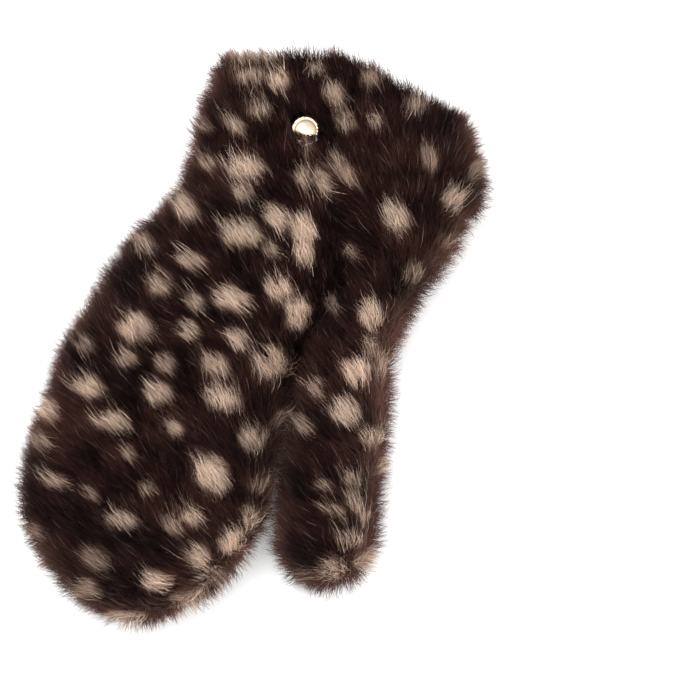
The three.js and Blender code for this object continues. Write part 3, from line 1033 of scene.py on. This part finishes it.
    def lean(self, places: Array, normals: Array) -> Array:
        """The way the hairs are combed, along the cloth.

        Args:
            places: roots of the hairs.
            normals: directions straight out of the cloth there.

        Returns:
            Vectors along the cloth, of length 1 where the pile lies most.
        """
        local = places - PLACE
        outward = unit(normals * [1, 1, 0])
        side = steepness(normals)
        right = smooth_step(self.RIGHT_FROM, self.RIGHT_TO, local[:, 0:1])
        left = self.COMB_CUFF if self.form is CUFF else self.COMB_LEFT
        comb = np.array(left) * (1 - right) + np.array(self.COMB_RIGHT) * right
        along = (unit(comb) * outward).sum(-1, keepdims=True)
        against = smooth_step(0.3, -0.3, along)
        valley = self.in_valley(local)[:, None]
        held = smooth_step(*self.HELD_SIDE, side) * self.HELD
        held = held + (smooth_step(*self.VALLEY_SIDE, side) - held) * valley
        edge = smooth_step(*self.FREE_SIDE, side) * (1 - against) + held * against
        if self.form is not CUFF:
            edge = edge * (1 - self.near_fold(local)[:, None])
        comb = comb * (1 - edge) + outward * edge
        for axis in (0, 1):
            comb[:, axis] += layered_noise(places, self.COMB_NOISE, axis)
        comb -= normals * (comb * normals).sum(-1, keepdims=True)
        size = np.linalg.norm(comb, axis=1, keepdims=True)
        return comb / np.maximum(size, self.FULL_LEAN)

    def near_fold(self, local: Array) -> Array:
        """How near places are to the fold's line above the crotch, from 0 to 1.

        Args:
            local: places, from the form's own origin.

        Returns:
            One number a place.
        """
        away = (local[:, 0] - LIE.fold_across(local[:, 1])) / self.FOLD_REACH
        low, high = (LIE.crotch + step for step in self.CROTCH_BLEND)
        return np.exp(-(away**4)) * smooth_step(low, high, local[:, 1])

    def in_valley(self, local: Array) -> Array:
        """How deep places lie in the dark fold between the hand and the thumb, from 0 to 1.

        Args:
            local: places, from the form's own origin.

        Returns:
            One number a place.
        """
        away = (local[:, 0] - LIE.fold_across(local[:, 1])) / self.VALLEY_REACH
        foot = (LIE.fold_top - LIE.fold_length + step for step in self.VALLEY_FOOT)
        head = (LIE.fold_top + step for step in self.VALLEY_HEAD)
        held = smooth_step(*foot, local[:, 1]) * smooth_step(*head, local[:, 1])
        return np.exp(-(away**2)) * held

    def strokes(self, places: Array, normals: Array, length: Array) -> Array:
        """How each hair's tip lies from its root, before the tufts draw together.

        Args:
            places: roots of the hairs.
            normals: directions straight out of the cloth there.
            length: lengths of the hairs.

        Returns:
            Vectors from root to tip.
        """
        style = self.style
        lean = self.lean(places, normals)
        side = steepness(normals)
        lift = style.lift + (style.lift_side - style.lift) * side
        lift = lift + layered_noise(places, [self.LIFT_NOISE])[:, None]
        uphill = smooth_step(0.0, 0.3, lean[:, 2:3])
        lift = lift * (1 - self.UPHILL_LOSS * uphill * (1 - self.in_valley(places - PLACE)[:, None]))
        flat = np.sqrt(np.clip(1 - lift**2, 0.05, 1))
        lying = np.linalg.norm(lean, axis=1, keepdims=True)
        return (lean * flat + normals * lift * (1.22 - 0.22 * lying)) * length[:, None]

    def tips(self, places: Array, normals: Array, length: Array, frizz: Array) -> Array:
        """Find the tips of the hairs, drawn together in tufts.

        Args:
            places: roots of the hairs.
            normals: directions straight out of the cloth there.
            length: lengths of the hairs.
            frizz: how far each hair strays, in a column.

        Returns:
            The tips.
        """
        style, rng, count = self.style, self.rng, len(places)
        stroke = self.strokes(places, normals, length)
        tufts = rng.choice(count, size=max(8, int(count * style.tufts)), replace=False)
        tree = kdtree.KDTree(len(tufts))
        for number, at in enumerate(tufts):
            tree.insert(places[at], number)
        tree.balance()
        nearest = tufts[np.array([tree.find(place)[1] for place in places])]
        own = rng.normal(0, 1, (count, 3)) * style.length * style.stray * frizz
        bias = rng.normal(0, 1, (count, 3)) * style.length * style.stray * 0.8
        gather = style.gather * rng.uniform(0.2, 1.0, count)[:, None]
        tip = places + stroke + own + bias[nearest]
        shared = places[nearest] + stroke[nearest] + bias[nearest]
        tip = tip + (shared - tip) * gather
        return self.hold_in(places, normals, tip)

    def paths(self, places: Array, normals: Array, length: Array) -> Array:
        """Lay each hair's path from its root to its tip.

        Args:
            places: roots of the hairs.
            normals: directions straight out of the cloth there.
            length: lengths of the hairs.

        Returns:
            Points of each hair, clear of the snap's face and of the floor.
        """
        style, rng, count = self.style, self.rng, len(places)
        most, cell, seed = self.FRIZZ_NOISE
        frizz = 1 + most * smooth_step(0.1, 0.8, lattice_noise(places, cell, seed))[:, None]
        tip = self.tips(places, normals, length, frizz)
        rise = normals * length[:, None] * (0.40 + 0.1 * rng.random((count, 1)))
        bend = places + rise + (tip - places) * 0.18
        bend = bend + rng.normal(0, 1, (count, 3)) * style.length * 0.09 * frizz
        root = places - normals * self.ROOT_DEPTH
        t = np.array(style.steps)[:, None, None]
        path = (1 - t) ** 2 * root + 2 * t * (1 - t) * bend + t * t * tip
        path = SNAP_GUARD.clear(np.transpose(path, (1, 0, 2)))
        lowest, spread = self.FLOOR
        path[:, :, 2] = np.maximum(path[:, :, 2], lowest + spread * rng.random((count, 1)))
        return path

    def grow(self, count: int) -> "Hairs":
        """Grow hairs.

        Args:
            count: how many.

        Returns:
            The hairs' points, sides and colours.
        """
        style, rng = self.style, self.rng
        places, normals, share = self.roots(count)
        order = np.argsort(share + 0.03 * rng.random(count))
        places, normals = places[order], normals[order]
        length = style.length * (1 + style.uneven * rng.normal(0, 0.6, count).clip(-1.6, 2.0))
        length *= 1 - self.UNDER_SHORTENING * smooth_step(-0.1, -0.7, normals[:, 2])
        path = self.paths(places, normals, length)

        run = unit(path[:, -1] - path[:, 0])
        across = unit(np.cross(run, normals))
        roll = rng.normal(0, self.ROLL, (count, 1))
        across = across * np.cos(roll) + np.cross(run, across) * np.sin(roll)
        seen = path[:, 0] + (path[:, -1] - path[:, 0]) * rng.uniform(*style.marked, (count, 1))
        pale = PELT.at(seen, normals[:, 2])
        pale = np.clip(pale + rng.normal(0, self.PALE_STRAY, count) * (0.15 + pale * 1.2), 0, 1)
        patch = layered_noise(places, self.PATCHES)
        grain_and_crease_shade = np.clip(rng.random(count) * self.GRAIN_SPREAD + self.GRAIN_FLOOR + patch, 0, 1)
        valley = self.in_valley(places - PLACE)
        # painted shade: dark hairs in the fold between hand and thumb are darkened where shade falls in
        # the crease
        grain_and_crease_shade = np.clip(grain_and_crease_shade - self.VALLEY_PAINTED_SHADE * valley * (1 - pale), 0, 1)
        # painted rim light: the steeper the cloth, the lighter brown the hair's tip; none in the fold
        rim = smooth_step(*self.RIM_LIGHT_SIDES, steepness(normals)[:, 0]) * (1 - valley)
        frost = np.where(rng.random(count) < style.frosted, rng.uniform(0.3, 0.9, count), 0.0)
        width = style.width * rng.uniform(0.7, 1.2, count)
        return Hairs(style, path, across, width, pale, grain_and_crease_shade, frost, rim)

    def hold_in(self, places: Array, normals: Array, tips: Array) -> Array:
        """Bring back tips that stray far out of the pile's own depth.

        Args:
            places: roots of the hairs.
            normals: directions straight out of the cloth there.
            tips: tips of the hairs.

        Returns:
            The tips, none of them much further out than the pile is deep.
        """
        out = ((tips - places) * normals).sum(-1)
        soft = self.PILE_DEPTH + self.PILE_GIVE * np.tanh((out - self.PILE_DEPTH) / self.PILE_GIVE)
        wanted = np.where(out > self.PILE_DEPTH, soft, out)
        return tips + normals * (wanted - out)[:, None]


@dataclass
class Hairs:
    """Hairs as arrays: their paths, the way their ribbons face, their widths and their colours."""

    style: PileStyle
    path: Array
    across: Array
    width: Array
    pale: Array
    # grain: a random tone for each hair, darkened in the fold as painted shade
    grain_and_crease_shade: Array
    frost: Array
    # rim: how much painted rim light each hair takes
    rim: Array

    def part(self, chosen: slice) -> "Hairs":
        """Take some of the hairs."""
        names = [name for name in self.__dataclass_fields__ if name != "style"]
        return Hairs(self.style, *(getattr(self, name)[chosen] for name in names))

    def build(self, name: str, finish: bpy.types.Material) -> bpy.types.Object:
        """Make one mesh of ribbons.

        Args:
            name: the object's name.
            finish: its material.

        Returns:
            The object.
        """
        count, edges = len(self.width), len(self.style.steps) - 1
        taper = np.array(self.style.taper)[:-1]
        half = self.across[:, None, :] * (self.width[:, None] * taper)[:, :, None] / 2
        pairs = np.stack([self.path[:, :-1] - half, self.path[:, :-1] + half], axis=2)
        vertices = np.concatenate([pairs.reshape(count, -1, 3), self.path[:, -1:, :]], axis=1)
        each = vertices.shape[1]
        quads = [(2 * k, 2 * k + 1, 2 * k + 3, 2 * k + 2) for k in range(edges - 1)]
        face = np.array([*sum(quads, ()), each - 3, each - 2, each - 1])
        offset = (np.arange(count) * each)[:, None]
        loops = (face + offset).ravel()
        starts = (np.arange(edges) * 4 + (np.arange(count) * len(face))[:, None]).ravel()
        thing = mesh_object(name, vertices.reshape(-1, 3), loops, starts)
        steps = np.array(self.style.steps)
        tipward = np.tile(np.append(np.repeat(steps[:-1], 2), steps[-1]), count)
        values = {"tipward": tipward}
        for key in ("pale", "grain_and_crease_shade", "frost", "rim"):
            values[key] = np.repeat(getattr(self, key), each)
        for key, numbers in values.items():
            made = thing.data.attributes.new(key, "FLOAT", "POINT")
            made.data.foreach_set("value", np.ascontiguousarray(numbers, dtype=np.float32))
        self.lay_map(thing, steps, face)
        thing.data.materials.append(finish)
        return thing

    def lay_map(self, thing: bpy.types.Object, steps: Array, face: Array) -> None:
        """Give each hair a cell of its own on the map that its colour can be kept on.

        Args:
            thing: the mesh of the hairs.
            steps: shares of a hair's path at which it has edges.
            face: corners of one hair's faces, end to end.
        """
        count = len(self.width)
        side = math.ceil(math.sqrt(count))
        cells = np.stack(np.divmod(np.arange(count), side)[::-1], axis=1)
        across = np.append(np.tile([0.15, 0.85], len(steps) - 1), 0.5)
        along = np.append(np.repeat(steps[:-1], 2), 1.0) * 0.76 + 0.12
        inside = np.stack([across, along], axis=1)[face]
        places = (cells[:, None, :] + inside[None, :, :]) / side
        layer = thing.data.uv_layers.new(name="OFBake")
        layer.data.foreach_set("uv", places.reshape(-1).astype(np.float32))


class SnapGuard:
    """Keeps the hairs off the upper part of the snap's face; most sizes are shares of its radius."""

    NEAR = 4.0
    UNDER = 0.8
    ROOT_RING = 1.05
    TRIES = 14
    SHORTENING = 0.9
    OVER = 1.1
    HEIGHT = (0.2 * MM, 1.6 * MM)
    RAGGED = (0.16, 1.6 * MM, 71)
    SLANT = 0.25
    CROSSED = 1.08

    def __init__(self, clear_below: float = 0.1) -> None:
        """Find the snap in the frame.

        Args:
            clear_below: how far below its middle the face stays clear, as a share of its radius.
        """
        low, high = (np.array(corner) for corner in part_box("snap"))
        self.centre = (low + high) / 2
        self.radius = float(high[0] - low[0]) / 2
        self.top = float(high[2])
        self.clear_below = clear_below

    def clear(self, paths: Array) -> Array:
        """Bend paths that would cross the open part of the snap's face.

        Args:
            paths: points of each hair, from root to tip.

        Returns:
            The paths, with the hairs round the snap parted.
        """
        near = np.linalg.norm(paths[:, 0, :2] - self.centre[:2], axis=1) < self.NEAR * self.radius
        hairs = paths[near]
        root = hairs[:, :1].copy()
        offset = root[:, 0, :2] - self.centre[:2]
        away = np.linalg.norm(offset, axis=1)
        hidden = (away < self.radius) & (offset[:, 1] > -self.UNDER * self.radius)
        outward = (self.radius * self.ROOT_RING - away[hidden]) / np.maximum(away[hidden], 0.1 * MM)
        shift = np.append(offset, np.zeros((len(offset), 1)), axis=1)[hidden] * outward[:, None]
        hairs[hidden] += shift[:, None, :]
        root[hidden] += shift[:, None, :]
        for _ in range(self.TRIES):
            blocked = self.crosses(hairs)
            if not blocked.any():
                break
            hairs[blocked] = root[blocked] + (hairs[blocked] - root[blocked]) * self.SHORTENING
        over = np.linalg.norm(hairs[:, :, :2] - self.centre[:2], axis=2) < self.radius * self.OVER
        over[:, 0] = False
        share = np.linspace(0, 1, hairs.shape[1])[None, :]
        lowest = self.top + self.HEIGHT[0] + self.HEIGHT[1] * share
        hairs[:, :, 2] = np.where(over, np.maximum(hairs[:, :, 2], lowest), hairs[:, :, 2])
        paths[near] = hairs
        return paths

    def crosses(self, hairs: Array) -> Array:
        """Say which hairs pass over the open part of the face, tested along their whole length.

        Args:
            hairs: points of each hair, from root to tip.

        Returns:
            A truth value for each hair.
        """
        found = np.zeros(len(hairs), dtype=bool)
        ragged = layered_noise(hairs[:, 0], [self.RAGGED])
        for first, second in zip(range(hairs.shape[1] - 1), range(1, hairs.shape[1])):
            for t in (0.33, 0.67, 1.0):
                offset = hairs[:, first, :2] * (1 - t) + hairs[:, second, :2] * t - self.centre[:2]
                edge = (ragged - self.clear_below) * self.radius - self.SLANT * offset[:, 0]
                inside = np.linalg.norm(offset, axis=1) < self.radius * self.CROSSED
                found |= inside & (offset[:, 1] > edge)
        return found


SNAP_GUARD = SnapGuard()
PELT = Pelt()


@dataclass
class FurShell:
    """A furred shell: its cloth wall and the pieces of its pile.

    Attributes:
        name: the start of its pieces' names.
        nodes: the solids that it replaces.
        form: its form.
        neighbours: forms whose cloth hides some of its own.
        guard: how many guard hairs it has.
        down: how many hairs of the down.
        pieces: pieces that the down is cut into.
    """

    WALL_GRID = (64, 84)
    OPEN_START = -2 * MM
    CLOSED_START = -6 * MM
    END_GAP = 3 * MM
    QUICK_PART = 5

    name: str
    nodes: tuple[str, ...]
    form: FurForm
    neighbours: tuple[FurForm, ...]
    guard: int
    down: int
    pieces: int

    def build(self, finishes: "Finishes") -> list[bpy.types.Object]:
        """Build the wall and the pile, and tie them to the frame.

        Args:
            finishes: the materials.

        Returns:
            The pieces.
        """
        wall = self.build_wall(finishes)
        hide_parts(*self.nodes)
        made = [wall]
        for label, style, count, pieces in (
            ("guard_hair", GUARD, self.guard, 1),
            ("down", DOWN, self.down, self.pieces),
        ):
            count = count
            hairs = PileGrower(self.form, self.neighbours, style).grow(count)
            cuts = np.linspace(0, count, pieces + 1).astype(int)
            for number, (low, high) in enumerate(zip(cuts[:-1], cuts[1:]), start=1):
                name = f"{self.name}_{label}_{number}"
                made.append(hairs.part(slice(low, high)).build(name, finishes.pile))
        for piece in made:
            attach(piece, BODY)
            LOG.info("%s: %d faces", piece.name, len(piece.data.polygons))
        return made

    def build_wall(self, finishes: "Finishes") -> bpy.types.Object:
        """Build the cloth wall as one closed sheet with an outside and an inside.

        Args:
            finishes: the materials.

        Returns:
            The wall.
        """
        rows, columns = self.WALL_GRID
        form = self.form
        spread = np.linspace(0, 1, rows + 1)
        if form.cap_from is None:
            along = self.OPEN_START + (form.reach - self.OPEN_START) * spread
            inner = along
        else:
            rise = np.sin(spread * math.pi / 2)
            along = self.CLOSED_START + (form.reach - self.CLOSED_START) * rise
            inner = np.minimum(along, form.reach - self.END_GAP)
        angle = np.linspace(0, 2 * math.pi, columns, endpoint=False)
        outside = form.points(Layer.OUTSIDE, *np.meshgrid(along, angle, indexing="ij"))
        inside = form.points(Layer.INSIDE, *np.meshgrid(inner, angle, indexing="ij"))
        following = np.roll(np.arange(columns), -1)
        centre = (outside[:-1] + outside[1:][:, following]) / 2
        keep = PileGrower(form, self.neighbours, GUARD).shows(centre)
        return sheet_wall(f"{self.name}_cloth", outside, inside, keep, finishes)


def sheet_wall(
    name: str, outside: Array, inside: Array, keep: Array, finishes: "Finishes"
) -> bpy.types.Object:
    """Make a wall between two grids of points that close round on themselves.

    Args:
        name: the object's name.
        outside: the outer grid, rows along the form and columns round it.
        inside: the inner grid.
        keep: which cells of the grid the wall has.
        finishes: the materials.

    Returns:
        The object.
    """
    rows, columns = outside.shape[:2]
    vertices = np.concatenate([outside.reshape(-1, 3), inside.reshape(-1, 3)])
    shift = rows * columns
    faces: list[tuple[int, int, int, int]] = []
    slots: list[int] = []

    def corner(row: int, column: int) -> int:
        """Number of a vertex on the outer grid."""
        return row * columns + column % columns

    for row, column in np.argwhere(keep):
        a, b = corner(row, column), corner(row, column + 1)
        d, c = corner(row + 1, column), corner(row + 1, column + 1)
        faces += [(a, b, c, d), (a + shift, d + shift, c + shift, b + shift)]
        slots += [0, 1]
        sides = (
            (row - 1, column, a, b), (row, column + 1, b, c),
            (row + 1, column, c, d), (row, column - 1, d, a),
        )
        for other_row, other_column, first, second in sides:
            if not 0 <= other_row < rows - 1 or not keep[other_row, other_column % columns]:
                faces.append((second, first, first + shift, second + shift))
                slots.append(0)
    loops = np.array(faces).ravel()
    starts = np.arange(len(faces)) * 4
    thing = mesh_object(name, vertices, loops, starts)
    thing.data.materials.append(finishes.underfur)
    thing.data.materials.append(finishes.knit)
    thing.data.polygons.foreach_set("material_index", np.array(slots[: len(thing.data.polygons)]))
    return thing


@dataclass(frozen=True)
class SnapDisc:
    """The metal snap: a disc with a rolled rim, its post and the plate inside the cuff."""

    sides: int = 72
    rim: float = 0.9 * MM
    rim_round: float = 0.4 * MM
    sink: float = 0.25 * MM
    post: float = 1.5 * MM
    plate: float = 4 * MM
    plate_thickness: float = 1.2 * MM
    thickness: float = 1.4 * MM

    def profile(self, radius: float, bottom: float, top: float) -> list[tuple[float, float]]:
        """Draw half of the snap's section, from the plate's middle to the middle of the face.

        Args:
            radius: the disc's radius.
            bottom: height of the plate's back.
            top: height of the rim.

        Returns:
            Points, each a distance from the axis and a height.
        """
        back = top - self.thickness
        arc = np.linspace(0, math.pi / 2, 6)
        outer = [
            (radius - self.rim_round + self.rim_round * math.cos(a),
             top - self.rim_round + self.rim_round * math.sin(a))
            for a in arc
        ]
        dish = [
            (radius - self.rim - self.rim_round * math.sin(a), top - self.sink * (1 - math.cos(a)))
            for a in arc
        ]
        return [
            (0.0, bottom), (self.plate, bottom), (self.plate, bottom + self.plate_thickness),
            (self.post, bottom + self.plate_thickness), (self.post, back),
            (radius - self.rim_round, back), (radius, back + self.rim_round),
            *outer, *dish, (0.0, top - self.sink * 0.6),
        ]

    def build(self, finishes: "Finishes") -> bpy.types.Object:
        """Turn the snap round its axis, in the place of the frame's.

        Args:
            finishes: the materials.

        Returns:
            The snap.
        """
        low, high = (np.array(corner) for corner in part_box("snap"))
        centre = (low + high) / 2
        profile = self.profile((high[0] - low[0]) / 2, low[2], high[2])
        turn = np.linspace(0, 2 * math.pi, self.sides, endpoint=False)
        rings = [
            [(centre[0] + r * math.cos(a), centre[1] + r * math.sin(a), z) for a in turn]
            for r, z in profile[1:-1]
        ]
        ends = [(centre[0], centre[1], profile[k][1]) for k in (0, -1)]
        vertices = np.array([ends[0], *sum(rings, []), ends[1]])
        loops: list[int] = []
        starts: list[int] = []
        last = len(vertices) - 1

        def add(*corners: int) -> None:
            """Add a face."""
            starts.append(len(loops))
            loops.extend(corners)

        for k in range(self.sides):
            after = (k + 1) % self.sides
            add(0, 1 + after, 1 + k)
            for ring in range(len(rings) - 1):
                a = 1 + ring * self.sides
                add(a + k, a + after, a + self.sides + after, a + self.sides + k)
            end = 1 + (len(rings) - 1) * self.sides
            add(end + k, end + after, last)
        thing = mesh_object("snap_disc", vertices, np.array(loops), np.array(starts))
        thing.data.materials.append(finishes.gold)
        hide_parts("snap")
        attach(thing, BODY)
        LOG.info("%s: %d faces", thing.name, len(thing.data.polygons))
        return thing


@dataclass
class Finishes:
    """The materials of the mitten."""

    pile: bpy.types.Material
    underfur: bpy.types.Material
    knit: bpy.types.Material
    gold: bpy.types.Material

    @classmethod
    def make(cls) -> "Finishes":
        """Make each material once.

        Returns:
            The materials.
        """
        cloth = ClothFinish()
        return cls(
            pile=HairFinish().build(),
            underfur=cloth.build_underfur(),
            knit=cloth.build_knit(),
            gold=GoldFinish().build(),
        )


@dataclass(frozen=True)
class Studio:
    """The pale floor, the soft lights and the camera straight above."""

    view_size: float = 301 * MM
    view_middle: tuple[float, float] = (41.1 * MM, -3.9 * MM)
    height: float = 6.0
    sensor: float = 36 * MM
    floor_size: float = 6.0
    floor_colour: Colour = (0.96, 0.96, 0.96)
    floor_glow: float = 0.08

    def build(self) -> None:
        """Set up the floor, the lights and the camera."""
        self.build_floor()
        self.add_light("key", (-0.6, 0.9, 1.7), size=1.6, power=38.0)
        self.add_light("fill", (0.9, -0.5, 1.6), size=2.0, power=16.0)
        world = bpy.data.worlds.new("studio")
        world.use_nodes = True
        background = next(n for n in world.node_tree.nodes if n.type == "BACKGROUND")
        background.inputs["Color"].default_value = (1.0, 1.0, 1.0, 1.0)
        background.inputs["Strength"].default_value = 1.0
        bpy.context.scene.world = world
        bpy.context.scene.view_settings.view_transform = "Standard"
        self.build_camera()

    def build_floor(self) -> None:
        """Lay the floor at the height that the mitten lies on."""
        half = self.floor_size / 2
        corners = np.array([(-half, -half, 0), (half, -half, 0), (half, half, 0), (-half, half, 0)])
        floor = mesh_object("floor", corners, np.arange(4), np.array([0]), smooth=False)
        shader = Shader("floor_white")
        shader.set(Base_Color=self.floor_colour, Roughness=0.9, Specular_IOR_Level=0.1)
        shader.set(Emission_Color=(1.0, 1.0, 1.0), Emission_Strength=self.floor_glow)
        floor.data.materials.append(shader.material)

    def add_light(self, name: str, place: tuple[float, float, float], size: float, power: float) -> None:
        """Hang a soft square light that faces the mitten.

        Args:
            name: the light's name.
            place: where it hangs.
            size: length of its side.
            power: its strength in watts.
        """
        lamp = bpy.data.lights.new(name, "AREA")
        lamp.shape = "SQUARE"
        lamp.size = size
        lamp.energy = power
        thing = bpy.data.objects.new(name, lamp)
        thing.location = place
        thing.rotation_euler = (-Vector(place)).to_track_quat("-Z", "Y").to_euler()
        bpy.context.scene.collection.objects.link(thing)

    def build_camera(self) -> None:
        """Set the camera straight above, with a long lens."""
        lens = bpy.data.cameras.new("camera")
        lens.sensor_width = self.sensor / MM
        lens.lens = self.sensor / MM * self.height / self.view_size
        lens.clip_end = 50.0
        camera = bpy.data.objects.new("camera", lens)
        camera.location = (*self.view_middle, self.height)
        bpy.context.scene.collection.objects.link(camera)
        bpy.context.scene.camera = camera


def main() -> None:
    """Build the mitten and the studio round it."""
    logging.basicConfig(level=logging.INFO, format="%(name)s: %(message)s")
    finishes = Finishes.make()
    shells = (
        FurShell(
            "hand", ("hand_back", "hand_palm"), HAND, (THUMB,), guard=34000, down=104000, pieces=2
        ),
        FurShell(
            "thumb", ("thumb_back", "thumb_palm"), THUMB, (HAND,), guard=15000, down=46000, pieces=1
        ),
        FurShell("cuff", ("cuff_shell",), CUFF, (), guard=13000, down=40000, pieces=1),
    )
    for shell in shells:
        shell.build(finishes)
    SnapDisc().build(finishes)
    Studio().build()


if __name__ == "__main__":
    main()
